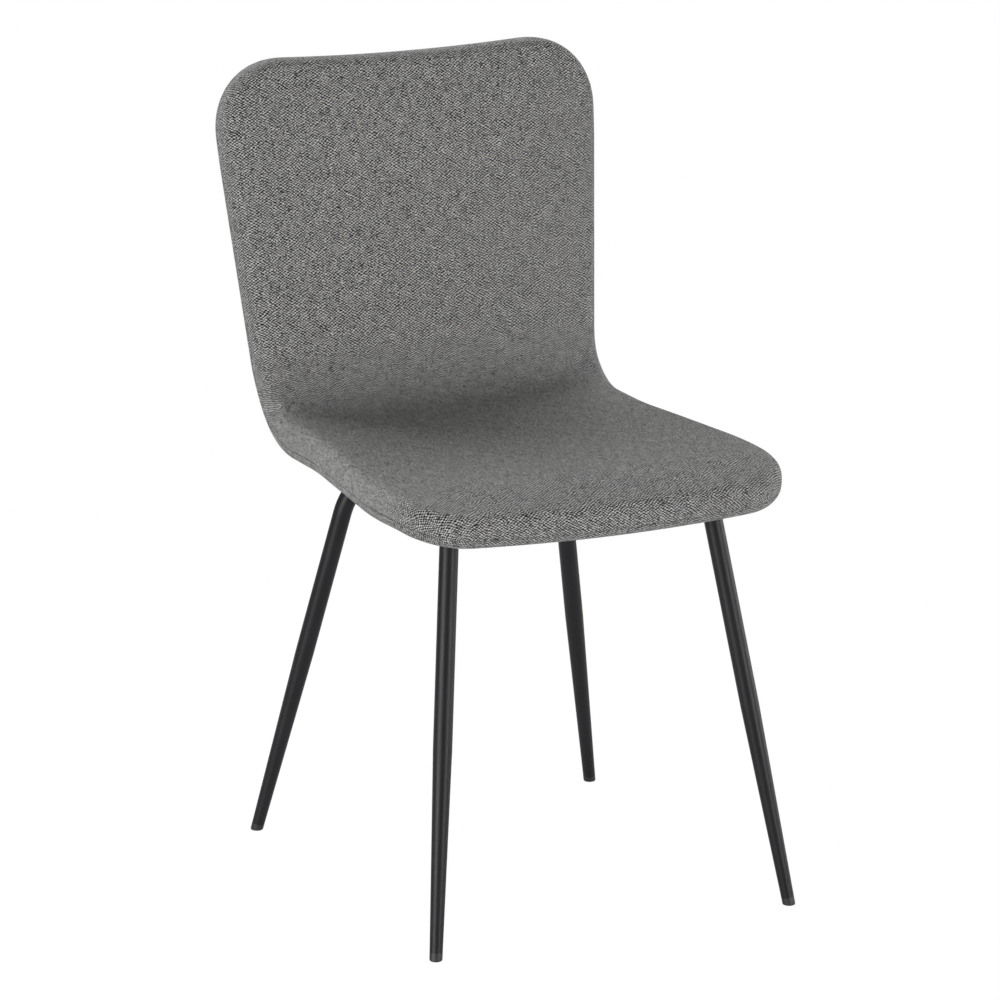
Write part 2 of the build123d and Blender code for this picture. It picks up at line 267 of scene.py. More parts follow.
@dataclass(frozen=True)
class WovenCloth:
    """Coarse plain-weave upholstery cloth in mixed grey yarns, drawn on the weave map."""

    warp_pitch: float = 2.3 * MM
    weft_pitch: float = 1.52 * MM
    dark: tuple = grey(0.010)
    light: tuple = (0.459, 0.459, 0.446, 1.0)
    middle: float = 0.28  # tone between dark and light where nothing else acts
    float_contrast: float = 0.98
    slubs: float = 1.15
    heather: float = 2.1
    mottle: float = 0.05
    relief: float = 0.35 * MM
    pucker_pitch: float = 6.0 * MM
    pucker_reach: float = 9.0 * MM
    yarn_drift: tuple = (9.0 * MM, 6.0 * MM, 0.0)  # how far the yarns wander across and along

    def build(self, name: str) -> bpy.types.Material:
        """Make the material.

        Args:
            name: The material's name.
        Returns:
            The material.
        """
        cloth = Shader(name, Roughness=0.92, Specular_IOR_Level=0.18, Sheen_Weight=0.12,
                       Sheen_Roughness=0.45, Sheen_Tint=(0.85, 0.85, 0.83, 1.0))
        weave_map = cloth.node("ShaderNodeUVMap", {"uv_map": "weave"}).out()
        drift = cloth.node("ShaderNodeTexNoise", {}, {"Vector": weave_map, "Scale": 75.0, "Detail": 5.0,
                                                      "Roughness": 0.62})
        wander = cloth.vector("SUBTRACT", drift.out("Color"), (0.5, 0.5, 0.5))
        wander = cloth.vector("MULTIPLY", wander, self.yarn_drift)
        across, along, _ = cloth.split(cloth.vector("ADD", weave_map, wander))
        warp, weft = across / self.warp_pitch, along / self.weft_pitch
        over = cloth.math("SINE", warp * math.pi) * cloth.math("SINE", weft * math.pi)
        floats = cloth.math("MULTIPLY", cloth.math("SIGN", over), abs(over) ** 0.55)

        warp_yarn = cloth.noise(cloth.join(warp, along * 60.0), 1.0, 1.0) - 0.5
        weft_yarn = cloth.noise(cloth.join(across * 70.0, weft, 7.0), 1.0, 1.0) - 0.5
        flecks = cloth.noise(cloth.join(warp * 0.9, weft * 0.8, 3.0), 1.0, 2.0, 0.7) - 0.5
        depth = (3.0 * cloth.noise(cloth.join(warp * 0.45, weft * 0.4, 11.0), 1.0, 2.0) - 0.7).clamped()
        clouds = cloth.noise(weave_map, 9.0, 3.0) - 0.5
        tone = (self.middle + self.float_contrast * floats * depth
                + self.slubs * (0.8 * warp_yarn + 0.8 * weft_yarn)
                + self.heather * flecks + self.mottle * clouds)
        cloth.paint("Base Color", cloth.mix(tone.clamped(), self.dark, self.light))

        seam_map = cloth.node("ShaderNodeUVMap", {"uv_map": "seam"}).out()
        along_seam, from_seam, _ = cloth.split(seam_map)
        near = (1.0 - from_seam / self.pucker_reach).clamped() ** 2.0
        puckers = cloth.math("SINE", along_seam * (2 * math.pi / self.pucker_pitch)) * near
        fuzz = cloth.noise(weave_map, 2600.0, 2.0, 0.6)
        height = abs(over) ** 0.6 + 0.35 * fuzz + 0.5 * puckers + 0.5 * (warp_yarn + weft_yarn)
        cloth.bump(height, self.relief)
        return cloth.material


@dataclass(frozen=True)
class DustCloth:
    """Thin black spun-bonded cloth with a grid of bonding dots."""

    dark: tuple = grey(0.010)
    light: tuple = grey(0.050)
    pitch: float = 1.6 * MM

    def build(self, name: str) -> bpy.types.Material:
        """Make the material."""
        cloth = Shader(name, Roughness=0.85, Specular_IOR_Level=0.25)
        weave_map = cloth.node("ShaderNodeUVMap", {"uv_map": "weave"}).out()
        across, along, _ = cloth.split(weave_map)
        dots = (cloth.math("SINE", across * (2 * math.pi / self.pitch))
                * cloth.math("SINE", along * (2 * math.pi / self.pitch)))
        fibres = cloth.noise(weave_map, 900.0, 4.0, 0.7)
        tone = (0.9 * fibres + 0.25 * dots).clamped()
        cloth.paint("Base Color", cloth.mix(tone, self.dark, self.light))
        cloth.bump(fibres - 0.6 * dots, 0.12 * MM)
        return cloth.material


@dataclass(frozen=True)
class Foam:
    """Open-cell seat foam, cream, with fine cells."""

    colour: tuple = (0.72, 0.62, 0.40, 1.0)
    shade: tuple = (0.50, 0.41, 0.24, 1.0)

    def build(self, name: str) -> bpy.types.Material:
        """Make the material."""
        foam = Shader(name, Roughness=0.95, Specular_IOR_Level=0.15)
        place = foam.object_place()
        cells = foam.node("ShaderNodeTexVoronoi", {}, {"Vector": place, "Scale": 900.0}).out("Distance")
        clouds = foam.noise(place, 14.0, 3.0)
        tone = (1.2 * cells + 0.5 * clouds - 0.2).clamped()
        foam.paint("Base Color", foam.mix(tone, self.shade, self.colour))
        foam.bump(cells, 0.5 * MM)
        return foam.material


@dataclass(frozen=True)
class Wadding:
    """White polyester wadding, matted fibres."""

    colour: tuple = grey(0.78)
    shade: tuple = grey(0.55)

    def build(self, name: str) -> bpy.types.Material:
        """Make the material."""
        wadding = Shader(name, Roughness=0.97, Specular_IOR_Level=0.15, Sheen_Weight=0.3)
        place = wadding.object_place()
        stretched = wadding.vector("MULTIPLY", place, (1.0, 0.25, 0.25))
        fibres = wadding.noise(stretched, 1400.0, 5.0, 0.75)
        clumps = wadding.noise(place, 45.0, 3.0)
        tone = (0.7 * fibres + 0.5 * clumps).clamped()
        wadding.paint("Base Color", wadding.mix(tone, self.shade, self.colour))
        wadding.bump(fibres + 0.8 * clumps, 0.8 * MM)
        return wadding.material


@dataclass(frozen=True)
class Plywood:
    """Bent birch plywood: grain along the shell."""

    early: tuple = (0.62, 0.43, 0.24, 1.0)
    late: tuple = (0.42, 0.26, 0.13, 1.0)

    def build(self, name: str) -> bpy.types.Material:
        """Make the material."""
        wood = Shader(name, Roughness=0.6, Specular_IOR_Level=0.3)
        place = wood.object_place()
        stretched = wood.vector("MULTIPLY", place, (1.0, 0.06, 0.06))
        grain = wood.noise(stretched, 260.0, 4.0, 0.6)
        figure = wood.noise(stretched, 30.0, 3.0)
        pores = wood.noise(wood.vector("MULTIPLY", place, (1.0, 0.03, 0.03)), 1500.0, 2.0)
        tone = (0.9 * grain + 0.6 * figure - 0.25).clamped()
        wood.paint("Base Color", wood.mix(tone, self.late, self.early))
        wood.bump(grain + 0.4 * pores, 0.1 * MM)
        return wood.material


@dataclass(frozen=True)
class PowderCoat:
    """Matte black powder coat with a fine orange-peel texture."""

    colour: tuple = (0.0085, 0.0085, 0.0100, 1.0)
    worn: tuple = (0.0150, 0.0150, 0.0170, 1.0)
    grain: float = 1500.0

    def build(self, name: str) -> bpy.types.Material:
        """Make the material."""
        coat = Shader(name, Specular_IOR_Level=0.20)
        place = coat.object_place()
        peel = coat.noise(place, self.grain, 2.0, 0.6)
        specks = coat.noise(place, self.grain * 2.4, 1.0)
        dust = coat.noise(place, 22.0, 4.0, 0.6)
        tone = (1.4 * specks + 0.8 * dust - 0.6).clamped()
        coat.paint("Base Color", coat.mix(tone, self.colour, self.worn))
        coat.paint("Roughness", (0.34 + 0.12 * dust).clamped())
        coat.bump(peel + 0.5 * specks, 0.09 * MM)
        return coat.material


@dataclass(frozen=True)
class MouldedPlastic:
    """Fine-sparked black nylon of the glides."""

    colour: tuple = grey(0.016)

    def build(self, name: str) -> bpy.types.Material:
        """Make the material."""
        plastic = Shader(name, Specular_IOR_Level=0.45)
        place = plastic.object_place()
        spark = plastic.noise(place, 2400.0, 3.0, 0.7)
        scuffs = plastic.noise(plastic.vector("MULTIPLY", place, (1.0, 1.0, 6.0)), 160.0, 4.0, 0.7)
        _, _, height = plastic.split(place)
        low = (1.0 - height / (4.0 * MM)).clamped()
        wear = (low * (2.2 * scuffs - 0.7)).clamped()
        plastic.paint("Base Color", plastic.mix(wear, self.colour, grey(0.045)))
        plastic.paint("Roughness", (0.52 + 0.25 * wear).clamped())
        plastic.bump(spark, 0.05 * MM)
        return plastic.material


@dataclass(frozen=True)
class PlatedSteel:
    """Bare plated or oxidised steel of fasteners, washers, nuts and staples."""

    colour: tuple
    tarnish: tuple
    roughness: float
    metallic: float = 1.0

    def build(self, name: str) -> bpy.types.Material:
        """Make the material."""
        steel = Shader(name, Metallic=self.metallic)
        place = steel.object_place()
        stains = steel.noise(place, 240.0, 4.0, 0.65)
        scratches = steel.noise(steel.vector("MULTIPLY", place, (1.0, 0.08, 1.0)), 2200.0, 2.0)
        steel.paint("Base Color", steel.mix((1.8 * stains - 0.5).clamped(), self.colour, self.tarnish))
        wear = 0.25 * (stains - 0.5) + 0.15 * (scratches - 0.5)
        steel.paint("Roughness", (self.roughness + wear).clamped())
        steel.bump(scratches, 0.02 * MM)
        return steel.material


@dataclass(frozen=True)
class StudioFloor:
    """Seamless white paper that the chair stands on."""

    colour: tuple = grey(0.50)
    lift: float = 0.05

    def build(self, name: str) -> bpy.types.Material:
        """Make the material: overexposed to pure white where it is seen, plain paper as a reflector."""
        paper = Shader(name, Roughness=0.9, Specular_IOR_Level=0.1, Emission_Color=grey(1.0),
                       Emission_Strength=self.lift)
        fibre = paper.noise(paper.object_place(), 300.0, 3.0)
        paper.paint("Base Color", paper.mix(fibre, grey(0.48), self.colour))
        white = paper.node("ShaderNodeEmission", {}, {"Color": grey(1.0), "Strength": 1.0})
        seen = paper.node("ShaderNodeLightPath").out("Is Camera Ray")
        plain = Value(paper, paper.surface.outputs[0])
        mixed = paper.node("ShaderNodeMixShader", {}, {0: seen, 1: plain, 2: white})
        output = next(n for n in paper.tree.nodes if n.type == "OUTPUT_MATERIAL")
        paper.feed(output.inputs["Surface"], mixed)
        return paper.material


class Slot(Enum):
    """The record's material slots."""

    PLYWOOD = "plywood"
    FOAM = "foam"
    WADDING = "wadding"
    CLOTH = "upholstery_cloth"
    DUST_CLOTH = "dust_cloth"
    STAPLE = "staple_wire"
    COATED = "powder_coated_steel"
    GLIDE = "glide_plastic"
    ZINC = "zinc_steel"
    BLACK = "black_oxide_steel"


FINISHES = {
    Slot.PLYWOOD: Plywood(),
    Slot.FOAM: Foam(),
    Slot.WADDING: Wadding(),
    Slot.CLOTH: WovenCloth(),
    Slot.DUST_CLOTH: DustCloth(),
    Slot.STAPLE: PlatedSteel(grey(0.55), grey(0.35), 0.32),
    Slot.COATED: PowderCoat(),
    Slot.GLIDE: MouldedPlastic(),
    Slot.ZINC: PlatedSteel((0.62, 0.63, 0.66, 1.0), (0.45, 0.44, 0.42, 1.0), 0.34),
    Slot.BLACK: PlatedSteel(grey(0.035), grey(0.07, 0.06), 0.42, 0.85),
}


class Palette:
    """Builds each finish once and hands it to pieces."""

    def __init__(self) -> None:
        """Build every finish."""
        self.materials = {slot: finish.build(slot.value) for slot, finish in FINISHES.items()}

    def dress(self, piece: bpy.types.Object, slot: Slot) -> None:
        """Give a piece one finish all over."""
        if piece.data.materials:
            for index in range(len(piece.data.materials)):
                piece.data.materials[index] = self.materials[slot]
        else:
            piece.data.materials.append(self.materials[slot])


# ---------------------------------------------------------------- shell form


@dataclass(frozen=True)
class ShellForm:
    """The shell's side line and outline.

    A place on the shell is (x, s, h): s runs along its middle from the nose to the top edge, and h
    stands in front of the middle, towards the sitter.
    """

    height: float = 850 * MM
    seat_z: float = 460 * MM
    half: float = 18.3 * MM
    nose_y: float = -275 * MM
    nose_droop: float = math.radians(21.5)
    nose_r: float = 250 * MM
    nose_run: float = 49 * MM
    bend_y: float = 188.6 * MM
    bend_r: float = 88 * MM
    rise: float = math.radians(90 - 10.2)
    seat_front_w: float = 210 * MM
    seat_w: float = 226 * MM
    waist_w: float = 201 * MM
    back_w: float = 221 * MM
    back_top_w: float = 227.5 * MM
    widest_y: float = -162 * MM
    waist_y: float = 48 * MM
    waist_z: float = 502 * MM
    back_widest_z: float = 740 * MM
    seat_corner_r: float = 57 * MM
    back_corner_r: float = 81 * MM
    side_r: float = 350 * MM
    front_bow: float = 15 * MM
    top_dip: float = 4.1 * MM
    crease: float = 2 * MM  # how much thinner the foam is where the seat meets the back
    seam: float = -6 * MM
    ply_front: float = -3 * MM
    ply_rear: float = -13 * MM
    ply_inset: float = 10 * MM

    def runs(self) -> tuple[float, float, float, float]:
        """Lengths along the middle of the straight tip, nose arc, flat seat and bend."""
        tip = self.nose_run - self.nose_r * math.tan(self.nose_droop / 2)
        nose_end = self.nose_y + self.nose_run * math.cos(self.nose_droop) + self.nose_run - tip
        return tip, self.nose_r * self.nose_droop, self.bend_start_y() - nose_end, self.bend_r * self.rise

    def bend_start_y(self) -> float:
        """Where the flat of the seat ends."""
        return self.bend_y - self.bend_r * math.tan(self.rise / 2)

    def middle(self, s: np.ndarray) -> tuple[np.ndarray, np.ndarray, np.ndarray]:
        """The middle's y, z and slope angle at each distance along it."""
        tip, nose, flat, bend = self.runs()
        straight = np.minimum(s, tip)
        nose_turn = np.clip(s - tip, 0, nose) / self.nose_r
        seat = np.clip(s - tip - nose, 0, flat)
        bend_turn = np.clip(s - tip - nose - flat, 0, bend) / self.bend_r
        back = np.maximum(s - tip - nose - flat - bend, 0)
        droop = self.nose_droop
        y = (self.nose_y + straight * math.cos(droop)
             + self.nose_r * (math.sin(droop) - np.sin(droop - nose_turn))
             + seat + self.bend_r * np.sin(bend_turn) + back * math.cos(self.rise))
        z = (self.seat_z - self.nose_run * math.sin(droop) + straight * math.sin(droop)
             + self.nose_r * (np.cos(droop - nose_turn) - math.cos(droop))
             + self.bend_r * (1 - np.cos(bend_turn)) + back * math.sin(self.rise))
        return y, z, droop - nose_turn + bend_turn

    def hollow(self, x: np.ndarray, s: np.ndarray) -> np.ndarray:
        """How far the front face sinks at the crease between the seat and the back."""
        tip, nose, flat, bend = self.runs()
        share = np.clip((s - tip - nose - flat) / bend, 0, 1)
        inwards = np.clip((self.waist_w - np.abs(x)) / (45 * MM), 0, 1)
        return self.crease * np.sin(math.pi * share) ** 2 * np.sin(inwards * math.pi / 2) ** 2

    def place(self, x: np.ndarray, s: np.ndarray, h: np.ndarray) -> np.ndarray:
        """Points in space for places on the shell, as rows of x, y, z."""
        y, z, slope = self.middle(s)
        return np.stack([x, y - h * np.sin(slope), z + h * np.cos(slope)], axis=-1)

    def where(self, y: float | None = None, z: float | None = None) -> float:
        """The distance along the middle at which it reaches this y or, on the back, this z."""
        s = np.linspace(-0.02, 1.0, 8001)
        found_y, found_z, _ = self.middle(s)
        if y is not None:
            return float(np.interp(y, found_y, s))
        return float(np.interp(z, found_z, s))

    def outline(self) -> np.ndarray:
        """The shell's outline as closed (x, s) points about a millimetre apart, with its edges' bows."""
        shoulder = self.back_top_w - self.back_corner_r
        top_z = self.height + self.top_dip * ((self.back_top_w / shoulder) ** 2 - 1)
        front, top = self.where(y=self.nose_y + self.front_bow), self.where(z=top_z)
        right = [(self.seat_front_w, front, self.seat_corner_r),
                 (self.seat_w, self.where(y=self.widest_y), self.side_r),
                 (self.waist_w, self.where(y=self.waist_y), self.side_r),
                 (self.waist_w, self.where(z=self.waist_z), self.side_r),
                 (self.back_w, self.where(z=self.back_widest_z), self.side_r),
                 (self.back_top_w, top, self.back_corner_r)]
        left = [(-x, s, r) for x, s, r in reversed(right)]
        points = rounded(right + left)
        share = (points[:, 0] / self.seat_front_w) ** 2
        near_front = points[:, 1] < front + self.seat_corner_r
        bow = np.where(near_front, (front - self.where(y=self.nose_y)) * (1 - share), 0)
        fade = np.clip(1 - (points[:, 1] - front) / self.seat_corner_r, 0, 1) ** 2
        top_share = 1 - (points[:, 0] / self.back_top_w) ** 2
        dip = self.top_dip * (self.back_top_w / shoulder) ** 2 * top_share
        top_fade = np.clip(1 - (top - points[:, 1]) / self.back_corner_r, 0, 1) ** 2
        points[:, 1] += dip * -top_fade - bow * fade
        return points


def rounded(corners: list[tuple[float, float, float]], step: float = 1 * MM) -> np.ndarray:
    """Round the corners of a closed outline.

    Args:
        corners: (x, s, radius) of each corner, anticlockwise.
        step: About how far apart the points stand.
    Returns:
        The rounded outline's points, as rows of x, s.
    """
    pieces = []
    count = len(corners)
    for i, (x, s, radius) in enumerate(corners):
        here = np.array((x, s))
        into = here - np.array(corners[i - 1][:2])
        out = np.array(corners[(i + 1) % count][:2]) - here
        into, out = into / np.linalg.norm(into), out / np.linalg.norm(out)
        turn = math.atan2(into[0] * out[1] - into[1] * out[0], float(into @ out))
        start = here - into * radius * math.tan(abs(turn) / 2)
        side = np.array((-into[1], into[0])) * math.copysign(1, turn)
        angles = np.linspace(0, abs(turn), max(2, math.ceil(radius * abs(turn) / step)))[:, None]
        pieces.append(start + radius * (into * np.sin(angles) + side * (1 - np.cos(angles))))
    points = []
    for i, arc in enumerate(pieces):
        points.append(arc)
        gap = pieces[(i + 1) % count][0] - arc[-1]
        steps = max(2, math.ceil(np.linalg.norm(gap) / step))
        points.append(arc[-1] + gap * (np.arange(1, steps) / steps)[:, None])
    return np.concatenate(points)


# ---------------------------------------------------------------- panels


@dataclass(frozen=True)
class Ring:
    """One line of a panel round the outline.

    out is how far it stands outside the outline, h its place in front of the shell's middle, and
    run how far the cloth has run outwards from the outline's flat measure.
    """

    out: float
    h: float
    run: float


class Panel:
    """A quad mesh over the shell: rings that follow an outline round a grid of columns and rows."""

    def __init__(self, form: ShellForm, outline: np.ndarray, depth: float, columns: int, rows: int) -> None:
        """Share the outline's points out.

        Args:
            form: The shell.
            outline: Closed outline, as rows of x, s.
            depth: How far inside the outline the grid starts.
            columns: Quads across.
            rows: Quads along.
        """
        self.form, self.depth, self.columns, self.rows = form, depth, columns, rows
        tangent = np.roll(outline, -3, axis=0) - np.roll(outline, 3, axis=0)
        normal = np.stack([tangent[:, 1], -tangent[:, 0]], axis=1)
        normal /= np.linalg.norm(normal, axis=1)[:, None]
        inner = outline - normal * depth
        quarters = [int(np.argmax(normal @ np.array(way))) for way in ((-1, -1), (1, -1), (1, 1), (-1, 1))]
        outline, normal, inner = (np.roll(a, -quarters[0], axis=0) for a in (outline, normal, inner))
        total = len(outline)
        stops = [(q - quarters[0]) % total for q in quarters] + [total]
        closed = np.concatenate([outline, outline[:1]])
        closed_inner = np.concatenate([inner, inner[:1]])
        steps = (np.linalg.norm(np.diff(closed, axis=0), axis=1)
                 + np.linalg.norm(np.diff(closed_inner, axis=0), axis=1)) / 2
        reach = np.concatenate([[0], np.cumsum(steps)])
        places = []
        for start, stop, quads in zip(stops, stops[1:], (columns, rows, columns, rows)):
            marks = np.linspace(reach[start], reach[stop], quads + 1)[:-1]
            places.append(np.interp(marks, reach, np.arange(total + 1)))
        index = np.concatenate(places)
        wrapped = np.concatenate([normal, normal[:1]])
        self.edge = np.stack([np.interp(index, np.arange(total + 1), closed[:, i]) for i in (0, 1)], axis=1)
        self.normal = np.stack([np.interp(index, np.arange(total + 1), wrapped[:, i]) for i in (0, 1)], axis=1)
        gaps = np.linalg.norm(np.roll(self.edge, -1, axis=0) - self.edge, axis=1)
        self.round_it = np.concatenate([[0], np.cumsum(gaps)])

    def ring(self, ring: Ring) -> np.ndarray:
        """One ring's points, as rows of x, s, h, weave u, weave v."""
        place = self.edge + self.normal * ring.out
        weave = self.edge + self.normal * ring.run
        return np.column_stack([place, np.full(len(place), ring.h), weave])

    def grid(self, edge: np.ndarray) -> np.ndarray:
        """Fill the inside of the last ring, rows by columns, including its edge."""
        n, m = self.columns, self.rows
        low, right = edge[:n + 1], edge[n:n + m + 1]
        high = edge[n + m:2 * n + m + 1][::-1]
        left = np.concatenate([edge[2 * n + m:], edge[:1]])[::-1]
        u, v = np.linspace(0, 1, n + 1)[None, :, None], np.linspace(0, 1, m + 1)[:, None, None]
        sides = (1 - v) * low[None] + v * high[None] + (1 - u) * left[:, None] + u * right[:, None]
        corners = ((1 - u) * (1 - v) * low[0] + u * (1 - v) * low[-1]
                   + (1 - u) * v * high[0] + u * v * high[-1])
        return sides - corners

    def build(self, name: str, rings: list[Ring], bottom: list[Ring] | None = None,
              flip: bool = False, shape: Callable | None = None) -> bpy.types.Object:
        """Make the mesh.

        Args:
            name: The piece's name.
            rings: Rings from the outermost to the grid's edge.
            bottom: More rings, from the outermost inwards, that close the piece behind.
            flip: Turn the faces round, for a panel that faces backwards.
            shape: Moves the points, as rows of x, s, h, weave u, weave v.
        Returns:
            The piece, with weave and seam maps.
        """
        count = 2 * (self.columns + self.rows)
        points: list[np.ndarray] = []
        faces: list[tuple] = []
        seam: list[np.ndarray] = []
        around = self.round_it[:-1]

        def side(rings: list[Ring], flipped: bool, first: list[int] | None) -> list[int]:
            """Add rings and their grid, and return the first ring's indices."""
            start = sum(len(p) for p in points)
            here = [] if first is None else [first]
            for r in rings:
                base = sum(len(p) for p in points)
                points.append(self.ring(r))
                seam.append(np.column_stack([around, np.full(count, abs(r.run - rings[0].run))]))
                here.append(list(range(base, base + count)))
            for outer, inner in zip(here, here[1:]):
                for k in range(count):
                    nxt = (k + 1) % count
                    quad = (outer[k], outer[nxt], inner[nxt], inner[k])
                    faces.append(quad[::-1] if flipped else quad)
            last = here[-1]
            grid = self.grid(points[-1])
            base = sum(len(p) for p in points)
            inner = grid[1:-1, 1:-1]
            points.append(inner.reshape(-1, 5))
            seam.append(np.full((inner.shape[0] * inner.shape[1], 2), 1.0))
            n, m = self.columns, self.rows
            index = np.empty((m + 1, n + 1), int)
            index[0], index[:, n] = last[:n + 1], last[n:n + m + 1]
            index[m] = last[n + m:2 * n + m + 1][::-1]
            index[:, 0] = (last[2 * n + m:] + last[:1])[::-1]
            index[1:-1, 1:-1] = base + np.arange((m - 1) * (n - 1)).reshape(m - 1, n - 1)
            for j in range(m):
                for i in range(n):
                    quad = (index[j, i], index[j, i + 1], index[j + 1, i + 1], index[j + 1, i])
                    faces.append(tuple(int(q) for q in (quad[::-1] if flipped else quad)))
            return list(range(start, start + count))

        first = side(rings, flip, None)
        if bottom:
            side(bottom, not flip, first)
        rows = np.concatenate(points)
        if shape:
            rows = shape(rows)
        seams = np.concatenate(seam)
        space = self.form.place(rows[:, 0], rows[:, 1], rows[:, 2])
        mesh = bpy.data.meshes.new(name)
        mesh.from_pydata(space.tolist(), [], faces)
        for map_name, values in (("weave", rows[:, 3:5]), ("seam", seams)):
            layer = mesh.uv_layers.new(name=map_name)
            loops = np.empty(len(mesh.loops), int)
            mesh.loops.foreach_get("vertex_index", loops)
            layer.data.foreach_set("uv", values[loops].ravel().astype(np.float32))
        mesh.update()
        piece = bpy.data.objects.new(name, mesh)
        bpy.context.scene.collection.objects.link(piece)
        return piece


def rim(form: ShellForm, widest: float, reach: float, depth: float, power: float, steps: int) -> list[Ring]:
    """Rings round the edge, from its widest place to the flat of one face.

    Args:
        form: The shell; not used.
        widest: The h at which the edge stands out furthest.
        reach: The face's h.
        depth: How far in from the outline the face turns flat.
        power: 2 for an ellipse, more for a squarer edge.
        steps: Rings between the two.
    Returns:
        The rings, outermost first, with run measured along the section.
    """
    angles = np.linspace(0, math.pi / 2, steps)
    out = -depth * (1 - np.cos(angles) ** (2 / power))
    h = widest + (reach - widest) * np.sin(angles) ** (2 / power)
    lengths = np.hypot(np.diff(out), np.diff(h))
    run = out[-1] + np.concatenate([np.cumsum(lengths[::-1])[::-1], [0]])
    return [Ring(float(a), float(b), float(c)) for a, b, c in zip(out, h, run)]


# ---------------------------------------------------------------- mesh helpers


def deselect_all() -> None:
    """Deselect everything."""
    for other in bpy.context.view_layer.objects:
        other.select_set(False)


def alone(piece: bpy.types.Object) -> None:
    """Select one piece and make it active."""
    deselect_all()
    piece.select_set(True)
    bpy.context.view_layer.objects.active = piece


def apply(piece: bpy.types.Object, kind: str, **settings: object) -> None:
    """Add a modifier with these settings and apply it."""
    alone(piece)
    modifier = piece.modifiers.new(kind.title(), kind)
    for name, value in settings.items():
        setattr(modifier, name, value)
    bpy.ops.object.modifier_apply(modifier=modifier.name)


def coordinates(piece: bpy.types.Object) -> np.ndarray:
    """A mesh's points, as rows of x, y, z."""
    flat = np.empty(len(piece.data.vertices) * 3)
    piece.data.vertices.foreach_get("co", flat)
    return flat.reshape(-1, 3)


def move_points(piece: bpy.types.Object, places: np.ndarray) -> None:
    """Put a mesh's points in these places."""
    piece.data.vertices.foreach_set("co", places.ravel())
    piece.data.update()


def smooth(piece: bpy.types.Object, angle: float = 40.0) -> None:
    """Shade smooth except over edges sharper than the angle, in degrees."""
    alone(piece)
    bpy.ops.object.shade_smooth_by_angle(angle=math.radians(angle))


def tidy_normals(piece: bpy.types.Object, fill: bool = False) -> None:
    """Merge doubles, close holes if asked, and turn the faces outwards."""
    alone(piece)
    bpy.ops.object.mode_set(mode="EDIT")
    bpy.ops.mesh.select_all(action="SELECT")
    bpy.ops.mesh.remove_doubles(threshold=0.01 * MM)
    if fill:
        bpy.ops.mesh.fill_holes(sides=0)
    bpy.ops.mesh.normals_make_consistent(inside=False)
    bpy.ops.object.mode_set(mode="OBJECT")


@dataclass(frozen=True)
class Swell:
    """How a panel is blown up by the foam behind it, by cloth simulation."""

    cap: float
    pressure: float = 4.0
    frames: int = 20
    stiffness: float = 25.0
    smoothing: int = 24

    def run(self, piece: bpy.types.Object, held: np.ndarray, share: np.ndarray, facing: np.ndarray) -> None:
        """Simulate a panel whose edge is held, and keep a limited part of its movement outwards.

        Args:
            piece: The panel.
            held: True for each point that the seam holds.
            share: How much of the movement's cap each point may use, from 0 to 1.
            facing: Which way is outwards at each point.
        """
        before = coordinates(piece)
        group = piece.vertex_groups.new(name="held")
        group.add([int(i) for i in np.flatnonzero(held)], 1.0, "REPLACE")
        alone(piece)
        cloth = piece.modifiers.new("Cloth", "CLOTH")
        settings = cloth.settings
        settings.quality = 4
        settings.mass = 0.4
        settings.tension_stiffness = settings.compression_stiffness = self.stiffness
        settings.shear_stiffness = self.stiffness / 2
        settings.bending_stiffness = 2.0
        settings.vertex_group_mass = "held"
        settings.use_pressure = True
        settings.uniform_pressure_force = self.pressure
        settings.effector_weights.gravity = 0.0
        cloth.point_cache.frame_start, cloth.point_cache.frame_end = 1, self.frames
        scene = bpy.context.scene
        for frame in range(1, self.frames + 1):
            scene.frame_set(frame)
        bpy.ops.object.modifier_apply(modifier=cloth.name)
        scene.frame_set(1)
        piece.vertex_groups.clear()
        moved = coordinates(piece) - before
        outwards = self.evened(piece, np.maximum(np.sum(moved * facing, axis=1), 0))
        moved = facing * outwards[:, None]
        size = np.linalg.norm(moved, axis=1)
        limit = self.cap * share
        kept = limit * np.tanh(size / np.maximum(limit, 1e-6)) / np.maximum(size, 1e-9)
        move_points(piece, before + moved * kept[:, None])
        log.info("%s: cloth moved up to %.1f mm, kept up to %.1f mm", piece.name,
                 size.max() / MM, (size * kept).max() / MM)

    def evened(self, piece: bpy.types.Object, heights: np.ndarray) -> np.ndarray:
        """Average each point's height with its neighbours', to take small wrinkles out."""
        ends = np.empty(len(piece.data.edges) * 2, int)
        piece.data.edges.foreach_get("vertices", ends)
        first, second = ends.reshape(-1, 2).T
        count = np.bincount(ends, minlength=len(heights))
        for _ in range(self.smoothing):
            total = np.bincount(first, heights[second], len(heights))
            total += np.bincount(second, heights[first], len(heights))
            heights = 0.5 * heights + 0.5 * total / np.maximum(count, 1)
        return heights


def flat_size(outline: np.ndarray) -> tuple[tuple[float, float], float]:
    """A closed flat outline's width and length to the millimetre, and its area."""
    following = np.roll(outline, -1, axis=0)
    area = abs(float(np.sum(outline[:, 0] * following[:, 1] - following[:, 0] * outline[:, 1]))) / 2
    width, length = (float(outline[:, i].max() - outline[:, i].min()) for i in (0, 1))
    return (round(width, 3), round(length, 3)), area


def ripple(x: np.ndarray, s: np.ndarray, size: float) -> np.ndarray:
    """A gentle unevenness over a panel, up to about this size."""
    waves = (np.sin(23 * x + 11 * s + 0.7) + np.sin(41 * x - 17 * s + 2.1)
             + np.sin(-13 * x + 47 * s + 4.0) + np.sin(67 * x + 31 * s + 1.2))
    return size * waves / 4


# ---------------------------------------------------------------- upholstery


